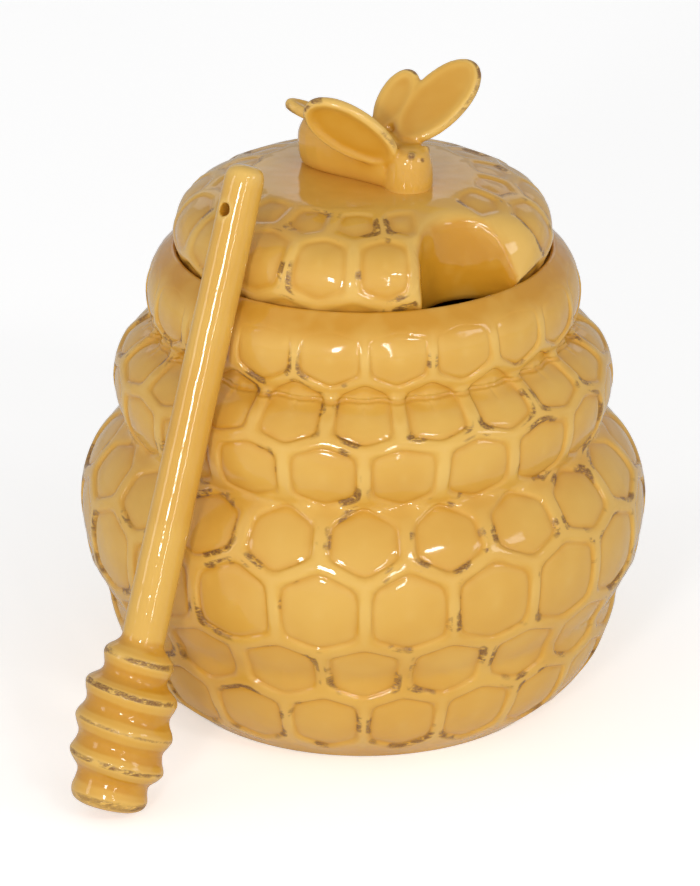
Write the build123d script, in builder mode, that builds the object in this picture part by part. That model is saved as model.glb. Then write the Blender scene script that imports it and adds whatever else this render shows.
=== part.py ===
"""Beehive honey pot: a tiered ceramic pot, a drop-in lid with a bee for its knob, and a dipper.

Millimetres. +Z is up, the origin is the centre of the pot's foot, and -Y is the front of the pot.
"""

import os
from math import cos, radians, sin, sqrt

from build123d import *

os.makedirs("parts", exist_ok=True)

# ---------------------------------------------------------------- driving dimensions
# Pot, as (radius, height) pairs. Each tier swells to its belly between two creases.
FOOT_RADIUS = 45.5
BASE_CREASE = (61.0, 27.5)
BROAD_BELLY = (67.5, 48.0)
BROAD_CREASE = (56.0, 68.6)
MIDDLE_BELLY = (59.3, 79.0)
MIDDLE_CREASE = (48.4, 92.2)
NECK_BELLY = (51.3, 100.5)
RIM_OUTER = (45.3, 111.4)
RIM_CREST = (44.5, 112.2)
POT_WALL = 4.6
FLOOR_THICKNESS = 5.5
FLOOR_RADIUS = 43.0
FOOT_EDGE = 1.2

# Seat inside the mouth, where the lid rests.
LEDGE_TOP = 109.3
LEDGE_THICKNESS = 3.0
LEDGE_INNER_RADIUS = 41.9
MOUTH_RADIUS = 43.7

# Lid, as (radius, height) pairs from its seat to its flat top.
LID_SEAT_EDGE = (42.9, LEDGE_TOP)
LID_SIDE_FOOT = (43.2, 110.1)
LID_BELLY = (44.7, 116.0)
LID_EDGE = (42.4, 122.4)
LID_SHOULDER = (35.5, 126.4)
LID_FLAT = (24.0, 129.5)
LID_WALL = 4.2
LID_CEILING = 124.0
SKIRT_TOP_RADIUS = 40.6
SKIRT_BOTTOM_RADIUS = 38.6
SKIRT_BOTTOM = 104.5

# Notch in the lid's edge for the dipper's handle: a round bite centred on the edge. From its
# deepest point to the ledge it leaves 10 mm, so the 9.5 mm handle stands through it.
NOTCH_AZIMUTH = 35.4
NOTCH_CENTRE_RADIUS = 45.7
NOTCH_RADIUS = 13.8
NOTCH_WALL = 3.6

# Honeycomb, pressed into the pot and the lid. The cells stand in rows, each half a cell on from
# the row below. Corners are on half columns, and a row of them has one place for the even half
# columns and one for the odd.
CELL_BORDER = 1.45
POT_CELL_DEPTH = 0.8
POT_CELLS = 20
POT_CORNER_HEIGHTS = (
    (7.5, 4.0),
    (21.0, 24.0),
    (38.3, 35.1),
    (54.0, 58.4),
    (70.2, 67.0),
    (83.3, 85.7),
    (98.5, 95.0),
    (106.5, 108.0),
)
LID_CELL_DEPTH = 0.6
LID_CELLS = 17
LID_TURN = -3.1
LID_CORNERS = (
    ((44.7, 115.2), (44.5, 112.3)),
    ((37.0, 125.8), (34.5, 126.7)),
    ((25.0, 129.4), (26.0, 129.3)),
)
# The notch takes the cells on half columns 3 to 5, and moves these corners aside: by row and
# half column, their azimuth and radius.
NOTCH_CELLS = (3, 4, 5)
CORNERS_BY_NOTCH = {
    (0, 2): (15.2, 44.6),
    (0, 6): (66.0, 44.6),
    (1, 2): (17.2, 37.0),
    (1, 3): (21.5, 36.0),
    (1, 5): (49.3, 36.0),
    (1, 6): (62.0, 37.0),
}
CUTTER_REACH = 8.0

# Bee, standing on the lid's flat top. Its heading is measured from +X, clockwise from above.
BEE_HEADING = -40.0
BODY_CENTRE = (-2.6, 0.3, 137.4)
BODY_HALF_LENGTH = 14.3
BODY_RADIUS = 8.0
HEAD_CENTRE = (9.6, -10.6, 135.2)
HEAD_RADIUS = 6.3
EYE_RADIUS = 1.3
EYE_FORWARD, EYE_SIDEWAYS, EYE_UP = 0.55, 0.45, 0.70
WING_THICKNESS = 2.6
WING_ROUNDING = 1.2
# Each wing is a flat plate round two circles: name, root, tip, root radius, tip radius, facing.
WINGS = (
    ("fore_wing_left", (11.6, -3.5, 142.4), (21.8, 0.5, 151.6), 5.1, 5.9, (-0.45, -0.72, 0.53)),
    ("hind_wing_left", (5.3, 0.0, 143.0), (9.6, 4.0, 149.6), 3.5, 4.0, (-0.35, -0.75, 0.50)),
    ("fore_wing_right", (5.7, -10.3, 139.5), (-8.4, -9.5, 148.2), 3.0, 5.0, (0.31, 0.73, 0.60)),
    ("hind_wing_right", (-1.2, -2.0, 140.5), (-15.1, 1.0, 145.4), 2.6, 3.4, (0.25, 0.60, 0.75)),
)

# Dipper. Its foot stands off to the front left, and its handle leans back against the pot.
DIPPER_FOOT_AZIMUTH = -38.1
DIPPER_FOOT_RADIUS = 95.6
LEAN_AZIMUTH = -37.0
LEAN_TILT = 21.1
HANDLE_FOOT_RADIUS = 5.1
HANDLE_TOP_RADIUS = 4.6
HANDLE_DOME = 3.6
NECK_HEIGHT = 41.0
DIPPER_LENGTH = 150.7
RING_PITCH = 8.2
RING_RADII = (8.85, 10.95, 11.4, 10.75, 7.9)
RING_ROUNDING = 2.6
GROOVE_DEPTH = 1.1
HOLE_RADIUS = 1.5
HOLE_FROM_TOP = 10.8
HOLE_TURN = -9.0

# ---------------------------------------------------------------- values worked out from them
LID_TOP = LID_FLAT[1]
LID_TOP_PLANE = Plane.XY.offset(LID_TOP)
NOTCH_CENTRE = (
    NOTCH_CENTRE_RADIUS * sin(radians(NOTCH_AZIMUTH)),
    -NOTCH_CENTRE_RADIUS * cos(radians(NOTCH_AZIMUTH)),
)

UP = Vector(0, 0, 1)
HEADING = Vector(cos(radians(BEE_HEADING)), sin(radians(BEE_HEADING)), 0)
BEE_LEFT = UP.cross(HEADING)
BODY_PLANE = Plane(origin=BODY_CENTRE, x_dir=HEADING, z_dir=-BEE_LEFT)
EYES = [
    Vector(HEAD_CENTRE) + (HEADING * EYE_FORWARD + BEE_LEFT * side * EYE_SIDEWAYS + UP * EYE_UP) * HEAD_RADIUS
    for side in (-1, 1)
]

# The dipper's own axes: one up the handle, and one square to it that points away from the pot.
OUTWARD = Vector(sin(radians(LEAN_AZIMUTH)), -cos(radians(LEAN_AZIMUTH)), 0)
HANDLE_AXIS = UP * cos(radians(LEAN_TILT)) - OUTWARD * sin(radians(LEAN_TILT))
HANDLE_OUT = OUTWARD * cos(radians(LEAN_TILT)) + UP * sin(radians(LEAN_TILT))
# The hanging hole is turned a little from that direction, about the handle.
HOLE_AXIS = HANDLE_OUT.rotate(Axis((0, 0, 0), HANDLE_AXIS), HOLE_TURN)
# The rounded lower edge of the foot ring touches the table, at height 0.
FOOT_FACE_RADIUS = RING_RADII[0] - RING_ROUNDING
DIPPER_FOOT_HEIGHT = RING_ROUNDING * (1 - cos(radians(LEAN_TILT))) + FOOT_FACE_RADIUS * sin(
    radians(LEAN_TILT)
)
DIPPER_FOOT = Vector(
    DIPPER_FOOT_RADIUS * sin(radians(DIPPER_FOOT_AZIMUTH)),
    -DIPPER_FOOT_RADIUS * cos(radians(DIPPER_FOOT_AZIMUTH)),
    DIPPER_FOOT_HEIGHT,
)
DIPPER_PLANE = Plane(origin=DIPPER_FOOT, x_dir=HANDLE_OUT, z_dir=HANDLE_OUT.cross(HANDLE_AXIS))


def tier(low_crease, belly, high_crease):
    """Two arcs that meet upright at the belly, the widest point of the tier."""
    TangentArc(belly, low_crease, tangent=(0, -1))
    TangentArc(belly, high_crease, tangent=(0, 1))


def inward(point, distance=POT_WALL):
    """A point of the outer profile, moved in: through the whole wall, unless a distance is given."""
    return (point[0] - distance, point[1])


# Each arc of the pot's side, from where it is upright to its other end.
POT_ARCS = (
    (BASE_CREASE, (FOOT_RADIUS, FOOT_EDGE)),
    (BROAD_BELLY, BASE_CREASE),
    (BROAD_BELLY, BROAD_CREASE),
    (MIDDLE_BELLY, BROAD_CREASE),
    (MIDDLE_BELLY, MIDDLE_CREASE),
    (NECK_BELLY, MIDDLE_CREASE),
    (NECK_BELLY, RIM_OUTER),
)


def pot_radius(height):
    """The radius of the pot's side at a height."""
    for (radius, level), (end_radius, end_level) in POT_ARCS:
        if min(level, end_level) <= height <= max(level, end_level):
            narrowing = radius - end_radius
            bend = (narrowing**2 + (end_level - level) ** 2) / (2 * narrowing)
            return radius - bend + sqrt(bend**2 - (height - level) ** 2)


def pot_body(depth):
    """The pot as a full solid, its side moved in by a depth."""
    foot = inward((FOOT_RADIUS, FOOT_EDGE), depth)
    rim = inward(RIM_OUTER, depth)
    creases = [inward(crease, depth) for crease in (BASE_CREASE, BROAD_CREASE, MIDDLE_CREASE)]
    bellies = [inward(belly, depth) for belly in (BROAD_BELLY, MIDDLE_BELLY, NECK_BELLY)]
    with BuildPart() as body:
        with BuildSketch(Plane.XZ):
            with BuildLine():
                Polyline((0, FOOT_EDGE), (0, 0), (foot[0] - FOOT_EDGE, 0), foot)
                TangentArc(creases[0], foot, tangent=(0, -1))
                for low, belly, high in zip(creases, bellies, creases[1:] + [rim]):
                    tier(low, belly, high)
                crest = inward(RIM_CREST, depth)
                Polyline(rim, crest, (0, crest[1]), (0, FOOT_EDGE))
            make_face()
        revolve(axis=Axis.Z)
    return body.part


def lid_body(depth):
    """The lid as a full solid without its notch, its top and side moved in by a depth."""
    outline = (
        (LID_FLAT, (0.0, 1.0)),
        (LID_SHOULDER, (0.4, 0.92)),
        (LID_EDGE, (0.85, 0.53)),
        (LID_BELLY, (1.0, 0.0)),
        (LID_SIDE_FOOT, (1.0, 0.0)),
    )
    points = [(r - depth * out, z - depth * up) for (r, z), (out, up) in outline]
    with BuildPart() as body:
        with BuildSketch(Plane.XZ):
            with BuildLine():
                Line((0, points[0][1]), points[0])
                Spline(*points, tangents=[(1, -0.08), (-0.35, -1)])
                Polyline(
                    points[-1],
                    inward(LID_SEAT_EDGE, depth),
                    (SKIRT_TOP_RADIUS, LEDGE_TOP),
                    (SKIRT_BOTTOM_RADIUS, SKIRT_BOTTOM),
                    (0, SKIRT_BOTTOM),
                    (0, points[0][1]),
                )
            make_face()
        revolve(axis=Axis.Z)
    return body.part


def standing_at(azimuth, radius, height):
    """A point by its azimuth in degrees from the front, towards +X, its radius and its height."""
    return Vector(radius * sin(radians(azimuth)), -radius * cos(radians(azimuth)), height)


def cell_cutter(corner, row, column, core):
    """What is cut away to press one cell: a prism inside the cell's border, down to the core."""
    low_left, low, low_right = (corner(row, column + side) for side in (-1, 0, 1))
    high_left, high, high_right = (corner(row + 1, column + side) for side in (-1, 0, 1))
    corners = (low_left, low, low_right, high_right, high, high_left)
    middle = sum(corners, Vector(0, 0, 0)) / len(corners)
    across = low_right - low_left
    upwards = high_left + high_right - low_left - low_right
    plane = Plane(origin=middle, x_dir=across, z_dir=across.cross(upwards))
    flat = [plane.to_local_coords(point) for point in corners]
    sides = [(one, other) for one, other in zip(flat, flat[1:] + flat[:1])]
    nearest = min(abs(one.X * other.Y - one.Y * other.X) / (other - one).length for one, other in sides)
    share = 1 - CELL_BORDER / nearest
    with BuildPart() as cutter:
        with BuildSketch(plane):
            Polygon(*[(point.X * share, point.Y * share) for point in flat], align=None)
        extrude(amount=CUTTER_REACH, both=True)
        add(core, mode=Mode.SUBTRACT)
    return cutter.part


# ---------------------------------------------------------------- pot
def pot_corner(row, column):
    height = POT_CORNER_HEIGHTS[row][column % 2]
    return standing_at(column * 180 / POT_CELLS, pot_radius(height), height)


pot_core = pot_body(POT_CELL_DEPTH)
pot_cutters = []
for row in range(len(POT_CORNER_HEIGHTS) - 1):
    # The lowest row has its cells on the odd half columns, the next on the even, and so on up.
    first = cell_cutter(pot_corner, row, 1 - row % 2, pot_core)
    pot_cutters += [first.rotate(Axis.Z, 360 / POT_CELLS * number) for number in range(POT_CELLS)]

with BuildPart() as pot:
    add(pot_body(0))
    add(pot_cutters, mode=Mode.SUBTRACT)
    with BuildSketch(Plane.XZ) as pot_hollow:
        ledge_underside = LEDGE_TOP - LEDGE_THICKNESS
        with BuildLine():
            Line((0, FLOOR_THICKNESS), (FLOOR_RADIUS, FLOOR_THICKNESS))
            TangentArc(inward(BASE_CREASE), (FLOOR_RADIUS, FLOOR_THICKNESS), tangent=(0, -1))
            tier(inward(BASE_CREASE), inward(BROAD_BELLY), inward(BROAD_CREASE))
            tier(inward(BROAD_CREASE), inward(MIDDLE_BELLY), inward(MIDDLE_CREASE))
            tier(inward(MIDDLE_CREASE), inward(NECK_BELLY), (LEDGE_INNER_RADIUS, ledge_underside))
            Polyline(
                (LEDGE_INNER_RADIUS, ledge_underside),
                (LEDGE_INNER_RADIUS, LEDGE_TOP),
                (MOUTH_RADIUS, LEDGE_TOP),
                RIM_CREST,
                (0, RIM_CREST[1]),
                (0, FLOOR_THICKNESS),
            )
        make_face()
    revolve(axis=Axis.Z, mode=Mode.SUBTRACT)
pot.part.label = "pot"
export_step(pot.part, "parts/pot.step")

# ---------------------------------------------------------------- lid
# The hollow under the lid stops short of the notch, which keeps a wall of its own above the seat.
with BuildPart() as lid_hollow:
    with BuildSketch(Plane.XZ) as hollow_section:
        with BuildLine():
            Polyline(
                (0, LID_CEILING),
                (0, SKIRT_BOTTOM),
                (SKIRT_BOTTOM_RADIUS - LID_WALL, SKIRT_BOTTOM),
                (SKIRT_TOP_RADIUS - LID_WALL, LEDGE_TOP),
                (LID_BELLY[0] - LID_WALL, LID_BELLY[1]),
            )
            Spline(
                (LID_BELLY[0] - LID_WALL, LID_BELLY[1]),
                (LID_EDGE[0] - LID_WALL, LID_EDGE[1] - LID_WALL / 2),
                (LID_FLAT[0], LID_CEILING),
                tangents=[(0, 1), (-1, 0)],
            )
            Line((LID_FLAT[0], LID_CEILING), (0, LID_CEILING))
        make_face()
    revolve(axis=Axis.Z)
    with BuildSketch(Plane.XY.offset(SKIRT_BOTTOM)) as notch_wall:
        with Locations(NOTCH_CENTRE):
            Circle(NOTCH_RADIUS + NOTCH_WALL)
    extrude(amount=LID_TOP - SKIRT_BOTTOM, mode=Mode.SUBTRACT)


def lid_corner(row, column):
    radius, height = LID_CORNERS[row][column % 2]
    azimuth = LID_TURN + column * 180 / LID_CELLS
    azimuth, radius = CORNERS_BY_NOTCH.get((row, column), (azimuth, radius))
    return standing_at(azimuth, radius, height)


lid_core = lid_body(LID_CELL_DEPTH)
lid_cutters = []
for number in range(LID_CELLS):
    # Cells on the odd half columns are round the side, and those on the even on the shoulder.
    for row, column in ((0, 2 * number + 1), (1, 2 * number)):
        if column not in NOTCH_CELLS:
            lid_cutters.append(cell_cutter(lid_corner, row, column, lid_core))

with BuildPart() as lid:
    add(lid_body(0))
    add(lid_cutters, mode=Mode.SUBTRACT)
    add(lid_hollow.part, mode=Mode.SUBTRACT)
    with BuildSketch(Plane.XY.offset(SKIRT_BOTTOM)) as notch:
        with Locations(NOTCH_CENTRE):
            Circle(NOTCH_RADIUS)
    extrude(amount=LID_TOP - SKIRT_BOTTOM, mode=Mode.SUBTRACT)
    # The skirt stops on each side of the notch, so that the handle has the whole gap.
    with BuildSketch(Plane.XY.offset(SKIRT_BOTTOM)) as skirt_gap:
        with Locations(NOTCH_CENTRE):
            Circle(NOTCH_RADIUS + NOTCH_WALL)
    extrude(amount=LEDGE_TOP - SKIRT_BOTTOM, mode=Mode.SUBTRACT)
lid.part.label = "lid"
export_step(lid.part, "parts/lid.step")

# ---------------------------------------------------------------- bee on the lid
with BuildPart() as bee_head:
    with Locations(HEAD_CENTRE):
        Sphere(HEAD_RADIUS)
    with Locations(EYES):
        Sphere(EYE_RADIUS)
    split(bisect_by=LID_TOP_PLANE, keep=Keep.TOP)
bee_head.part.label = "bee_head"
export_step(bee_head.part, "parts/bee_head.step")

with BuildPart() as bee_body:
    with BuildSketch(BODY_PLANE) as body_section:
        with BuildLine():
            Spline(
                (-BODY_HALF_LENGTH, 0),
                (-0.35 * BODY_HALF_LENGTH, BODY_RADIUS),
                (0.35 * BODY_HALF_LENGTH, 0.86 * BODY_RADIUS),
                (BODY_HALF_LENGTH, 0),
                tangents=[(0, 1), (0, -1)],
            )
            Line((-BODY_HALF_LENGTH, 0), (BODY_HALF_LENGTH, 0))
        make_face()
    revolve(axis=Axis(BODY_CENTRE, HEADING))
    split(bisect_by=LID_TOP_PLANE, keep=Keep.TOP)
    add(bee_head.part, mode=Mode.SUBTRACT)
bee_body.part.label = "bee_body"
export_step(bee_body.part, "parts/bee_body.step")

# Each wing is let into the body and the head, and cut back where it meets an earlier wing.
bee_so_far = [bee_head.part, bee_body.part]
for name, root, tip, root_radius, tip_radius, facing in WINGS:
    span = Vector(tip) - Vector(root)
    edge_on = span.cross(Vector(facing))
    with BuildPart() as wing:
        with BuildSketch(Plane(origin=root, x_dir=span, z_dir=edge_on.cross(span) * -1)) as wing_outline:
            Circle(root_radius)
            with Locations((span.length, 0)):
                Circle(tip_radius)
            make_hull()
        extrude(amount=WING_THICKNESS / 2, both=True)
        fillet(wing.edges(), radius=WING_ROUNDING)
        add(bee_so_far, mode=Mode.SUBTRACT)
    wing.part.label = name
    export_step(wing.part, f"parts/{name}.step")
    bee_so_far.append(wing.part)

# ---------------------------------------------------------------- dipper
ring_heights = [RING_ROUNDING + number * RING_PITCH for number in range(len(RING_RADII))]
wave = [(RING_RADII[0], ring_heights[0])]
for below, above, height in zip(RING_RADII, RING_RADII[1:], ring_heights):
    wave.append((min(below, above) - GROOVE_DEPTH, height + RING_PITCH / 2))
    wave.append((above, height + RING_PITCH))
wave.append((HANDLE_FOOT_RADIUS, NECK_HEIGHT))

with BuildPart() as dipper:
    with BuildSketch(DIPPER_PLANE) as dipper_section:
        with BuildLine():
            Line((0, 0), (FOOT_FACE_RADIUS, 0))
            TangentArc((FOOT_FACE_RADIUS, 0), wave[0], tangent=(1, 0))
            for start, end in zip(wave, wave[1:]):
                Spline(start, end, tangents=[(0, 1), (0, 1)])
            Line(wave[-1], (HANDLE_TOP_RADIUS, DIPPER_LENGTH - HANDLE_DOME))
            Spline(
                (HANDLE_TOP_RADIUS, DIPPER_LENGTH - HANDLE_DOME),
                (0, DIPPER_LENGTH),
                tangents=[(0, 1), (-1, 0)],
            )
            Line((0, DIPPER_LENGTH), (0, 0))
        make_face()
    revolve(axis=Axis(DIPPER_FOOT, HANDLE_AXIS))
    hole_centre = DIPPER_FOOT + HANDLE_AXIS * (DIPPER_LENGTH - HOLE_FROM_TOP)
    with BuildSketch(Plane(origin=hole_centre, z_dir=HOLE_AXIS)) as hanging_hole:
        Circle(HOLE_RADIUS)
    extrude(amount=2 * HANDLE_FOOT_RADIUS, both=True, mode=Mode.SUBTRACT)
dipper.part.label = "dipper"
export_step(dipper.part, "parts/dipper.step")
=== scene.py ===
import math
import random

import bmesh
import bpy
import numpy as np
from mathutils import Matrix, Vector
from mathutils.geometry import interpolate_bezier


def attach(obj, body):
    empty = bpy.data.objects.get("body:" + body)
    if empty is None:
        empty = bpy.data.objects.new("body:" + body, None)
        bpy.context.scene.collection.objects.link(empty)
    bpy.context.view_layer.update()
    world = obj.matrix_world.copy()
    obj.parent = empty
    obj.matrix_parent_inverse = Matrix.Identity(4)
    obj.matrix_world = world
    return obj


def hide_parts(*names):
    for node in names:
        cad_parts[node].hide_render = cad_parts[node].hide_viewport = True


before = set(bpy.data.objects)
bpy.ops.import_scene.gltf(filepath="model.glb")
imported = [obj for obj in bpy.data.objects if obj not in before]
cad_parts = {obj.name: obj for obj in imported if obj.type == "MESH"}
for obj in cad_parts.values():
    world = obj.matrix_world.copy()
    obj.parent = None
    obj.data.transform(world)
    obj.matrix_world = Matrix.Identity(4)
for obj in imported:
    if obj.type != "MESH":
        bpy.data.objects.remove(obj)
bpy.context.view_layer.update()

MM = 0.001
SEED = 20
rng = random.Random(SEED)

# ---------------------------------------------------------------- camera, light and floor
IMAGE_WIDTH = 700
AIM = Vector((-3.14, 0.0, 61.0)) * MM
VIEW_ELEVATION = math.radians(23.0)
VIEW_DISTANCE = 1.3
# How many pixels a metre takes in the render, at the view distance.
PIXELS_PER_METRE = 4205
SENSOR = 36.0
# The light on surfaces by direction: an axis, its span, and the strength from end to end of it.
WORLD_LIGHT = (("Y", (0.6, -0.8), (0.40, 1.13)), ("Z", (0.0, 1.0), (1.0, 0.45)))
FLOOR_LIFT = 0.45
ROOM_IN_REFLECTIONS = 0.35
FLOOR_IN_REFLECTIONS = 0.1
FLOOR_SIZE = 8
# Each soft light as its name, azimuth and elevation in degrees, distance, size in m, and watts.
SOFTBOXES = (
    ("key_softbox", -15, 17, 1.5, (0.16, 0.22), 4.5),
    ("key_strip", 14, 14, 1.5, (0.03, 0.60), 1.5),
    ("small_lamp", 28, 34, 1.4, (0.22, 0.06), 1.7),
    ("right_window", 62, 24, 1.5, (0.42, 0.24), 1.2),
    ("left_window", -68, 20, 1.5, (0.30, 0.60), 1.6),
    ("back_window", 180, 23, 1.8, (1.8, 0.4), 1.1),
)


def set_camera():
    away = Vector((0, -math.cos(VIEW_ELEVATION), math.sin(VIEW_ELEVATION)))
    bpy.ops.object.camera_add(
        location=AIM + away * VIEW_DISTANCE, rotation=(math.pi / 2 - VIEW_ELEVATION, 0, 0)
    )
    camera = bpy.context.object
    camera.data.sensor_fit = "HORIZONTAL"
    camera.data.sensor_width = SENSOR
    camera.data.lens = SENSOR * PIXELS_PER_METRE * VIEW_DISTANCE / IMAGE_WIDTH
    camera.data.clip_start = 0.05
    camera.data.clip_end = 20
    bpy.context.scene.camera = camera


def add_softbox(name, azimuth, elevation, distance, size, watts):
    """A rectangular soft light that looks at the middle of the pot."""
    a, e = math.radians(azimuth), math.radians(elevation)
    away = Vector((math.sin(a) * math.cos(e), -math.cos(a) * math.cos(e), math.sin(e)))
    bpy.ops.object.light_add(type="AREA", location=AIM + away * distance)
    light = bpy.context.object
    light.name = name
    light.rotation_euler = away.to_track_quat("Z", "Y").to_euler()
    light.data.shape = "RECTANGLE"
    light.data.size, light.data.size_y = size
    light.data.energy = watts


def seen_share(tree, in_reflections):
    """1 for what the camera sees, a share of it in reflections, and 0 for light on a surface."""
    path = tree.nodes.new("ShaderNodeLightPath")
    share = path.outputs["Is Camera Ray"]
    for kind in ("Is Glossy Ray", "Is Transmission Ray"):
        add = tree.nodes.new("ShaderNodeMath")
        add.operation = "MULTIPLY_ADD"
        tree.links.new(path.outputs[kind], add.inputs[0])
        add.inputs[1].default_value = in_reflections
        tree.links.new(share, add.inputs[2])
        share = add.outputs[0]
    return share


def set_world():
    """White wherever it is seen, and a softer light that comes more from the front."""
    world = bpy.data.worlds.new("studio")
    bpy.context.scene.world = world
    world.use_nodes = True
    tree = world.node_tree
    light = tree.nodes["Background"]
    light.inputs["Color"].default_value = (1, 1, 1, 1)
    place = tree.nodes.new("ShaderNodeTexCoord")
    axes = tree.nodes.new("ShaderNodeSeparateXYZ")
    tree.links.new(place.outputs["Generated"], axes.inputs[0])
    strength = None
    for axis, (low, high), (dimmest, brightest) in WORLD_LIGHT:
        grade = tree.nodes.new("ShaderNodeMapRange")
        grade.inputs["From Min"].default_value = low
        grade.inputs["From Max"].default_value = high
        grade.inputs["To Min"].default_value = dimmest
        grade.inputs["To Max"].default_value = brightest
        tree.links.new(axes.outputs[axis], grade.inputs["Value"])
        if strength is None:
            strength = grade.outputs[0]
        else:
            both = tree.nodes.new("ShaderNodeMath")
            both.operation = "MULTIPLY"
            tree.links.new(strength, both.inputs[0])
            tree.links.new(grade.outputs[0], both.inputs[1])
            strength = both.outputs[0]
    tree.links.new(strength, light.inputs["Strength"])
    white = tree.nodes.new("ShaderNodeBackground")
    mix = tree.nodes.new("ShaderNodeMixShader")
    tree.links.new(seen_share(tree, ROOM_IN_REFLECTIONS), mix.inputs[0])
    tree.links.new(light.outputs[0], mix.inputs[1])
    tree.links.new(white.outputs[0], mix.inputs[2])
    tree.links.new(mix.outputs[0], tree.nodes["World Output"].inputs["Surface"])
    white.inputs["Color"].default_value = (1, 1, 1, 1)
    white.inputs["Strength"].default_value = 1.0


def add_floor():
    """White paper that shows white, and still takes the pot's shadow."""
    bpy.ops.mesh.primitive_plane_add(size=FLOOR_SIZE)
    floor = bpy.context.object
    floor.name = "floor"
    paper = bpy.data.materials.new("white_paper")
    paper.use_nodes = True
    tree = paper.node_tree
    shader = tree.nodes["Principled BSDF"]
    shader.inputs["Base Color"].default_value = (0.92, 0.92, 0.92, 1)
    shader.inputs["Roughness"].default_value = 0.9
    shader.inputs["Specular IOR Level"].default_value = 0.0
    shader.inputs["Emission Color"].default_value = (1, 1, 1, 1)
    lift = tree.nodes.new("ShaderNodeMath")
    lift.operation = "MULTIPLY"
    lift.inputs[1].default_value = FLOOR_LIFT
    tree.links.new(seen_share(tree, FLOOR_IN_REFLECTIONS), lift.inputs[0])
    tree.links.new(lift.outputs[0], shader.inputs["Emission Strength"])
    floor.data.materials.append(paper)


def set_stage():
    bpy.context.scene.view_settings.view_transform = "Standard"
    set_world()
    add_floor()
    for softbox in SOFTBOXES:
        add_softbox(*softbox)


# ---------------------------------------------------------------- modelling helpers
def deselect():
    bpy.ops.object.select_all(action="DESELECT")


def make_active(piece):
    deselect()
    piece.select_set(True)
    bpy.context.view_layer.objects.active = piece


def edit(mode="VERT"):
    bpy.ops.object.mode_set(mode="EDIT")
    bpy.ops.mesh.select_mode(type=mode)


def leave_edit():
    bpy.ops.object.mode_set(mode="OBJECT")


def edit_mesh():
    return bmesh.from_edit_mesh(bpy.context.object.data)


def select_where(kind, wanted):
    """In edit mode, select exactly the verts, edges or faces for which wanted() is true."""
    bpy.ops.mesh.select_all(action="DESELECT")
    for item in getattr(edit_mesh(), kind):
        if wanted(item):
            item.select_set(True)
    bmesh.update_edit_mesh(bpy.context.object.data)


def select_open_edges(above=0.0):
    """In edit mode, select the edges of the piece's open ends above a height in mm."""
    select_where("edges", lambda edge: edge.is_boundary and edge.verts[0].co.z > above * MM)


def azimuth_of(point):
    """Degrees round the pot's axis: 0 at the front, growing towards +X."""
    return math.degrees(math.atan2(point.x, -point.y))


def polar(azimuth, radius, height):
    a = math.radians(azimuth)
    return Vector((math.sin(a) * radius, -math.cos(a) * radius, height))


def start_ring(name, corners, radius):
    deselect()
    bpy.ops.mesh.primitive_circle_add(vertices=corners, radius=radius)
    piece = bpy.context.object
    piece.name = name
    edit()
    bpy.ops.mesh.select_all(action="SELECT")
    return piece


def place_corners(place):
    """Move each selected corner to where place() puts it."""
    for corner in edit_mesh().verts:
        if corner.select:
            corner.co = place(corner.co.copy())
    bmesh.update_edit_mesh(bpy.context.object.data)


def extrude_ring(place):
    bpy.ops.mesh.extrude_region_move()
    place_corners(place)


def turned_ring(radius, height):
    """For extrude_ring: a plain turned ring, in millimetres."""
    return lambda corner: polar(azimuth_of(corner), radius * MM, height * MM)


def close_ring():
    bpy.ops.mesh.edge_face_add()
    bpy.ops.mesh.poke()


def make_tube(name, sides, rings, place):
    """A closed tube of rings, its corners placed by their turn round it and their ring's number."""
    piece = start_ring(name, sides, 1)
    for _ in range(rings - 1):
        bpy.ops.mesh.extrude_region_move(TRANSFORM_OT_translate={"value": (0, 0, 1)})
    bpy.ops.mesh.select_all(action="SELECT")
    place_corners(lambda corner: place(math.atan2(corner.y, corner.x), round(corner.z)) * MM)
    bpy.ops.mesh.fill_holes(sides=0)
    select_where("faces", lambda face: len(face.verts) == sides)
    bpy.ops.mesh.poke()
    face_outwards()
    leave_edit()
    return piece


def face_outwards():
    bpy.ops.mesh.select_all(action="SELECT")
    bpy.ops.mesh.normals_make_consistent(inside=False)


def apply_modifier(piece, kind, **settings):
    make_active(piece)
    modifier = piece.modifiers.new(kind.title(), kind)
    for name, value in settings.items():
        setattr(modifier, name, value)
    bpy.ops.object.modifier_apply(modifier=modifier.name)


def keep_weight(piece, group):
    """Copy a vertex group to an attribute the glaze can read."""
    index = piece.vertex_groups[group].index
    values = [
        next((g.weight for g in corner.groups if g.group == index), 0.0) for corner in piece.data.vertices
    ]
    keep_values(piece, group, values)


def keep_values(piece, name, values):
    attribute = piece.data.attributes.new("glaze_" + name, "FLOAT", "POINT")
    attribute.data.foreach_set("value", values)


def measure_relief(piece, reach):
    """How far each corner stands out, in mm, from the same piece smoothed over a reach in mm."""
    mesh = piece.data
    count = len(mesh.vertices)
    here = np.empty(count * 3)
    mesh.vertices.foreach_get("co", here)
    here = here.reshape(-1, 3)
    normals = np.empty(count * 3)
    mesh.vertices.foreach_get("normal", normals)
    edges = np.empty(len(mesh.edges) * 2, dtype=np.int32)
    mesh.edges.foreach_get("vertices", edges)
    edges = edges.reshape(-1, 2)
    lengths = np.linalg.norm(here[edges[:, 0]] - here[edges[:, 1]], axis=1)
    starts = np.concatenate([edges[:, 0], edges[:, 1]])
    ends = np.concatenate([edges[:, 1], edges[:, 0]])
    links = np.bincount(starts, minlength=count)[:, None]
    smooth = here.copy()
    # The smoothing reaches about half an edge times the square root of its rounds.
    for _ in range(int((2 * reach * MM / lengths.mean()) ** 2) + 1):
        around = [np.bincount(starts, smooth[ends, axis], count) for axis in range(3)]
        smooth = (smooth + np.stack(around, axis=1) / links) / 2
    return ((here - smooth) * normals.reshape(-1, 3)).sum(axis=1) / MM


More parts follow.
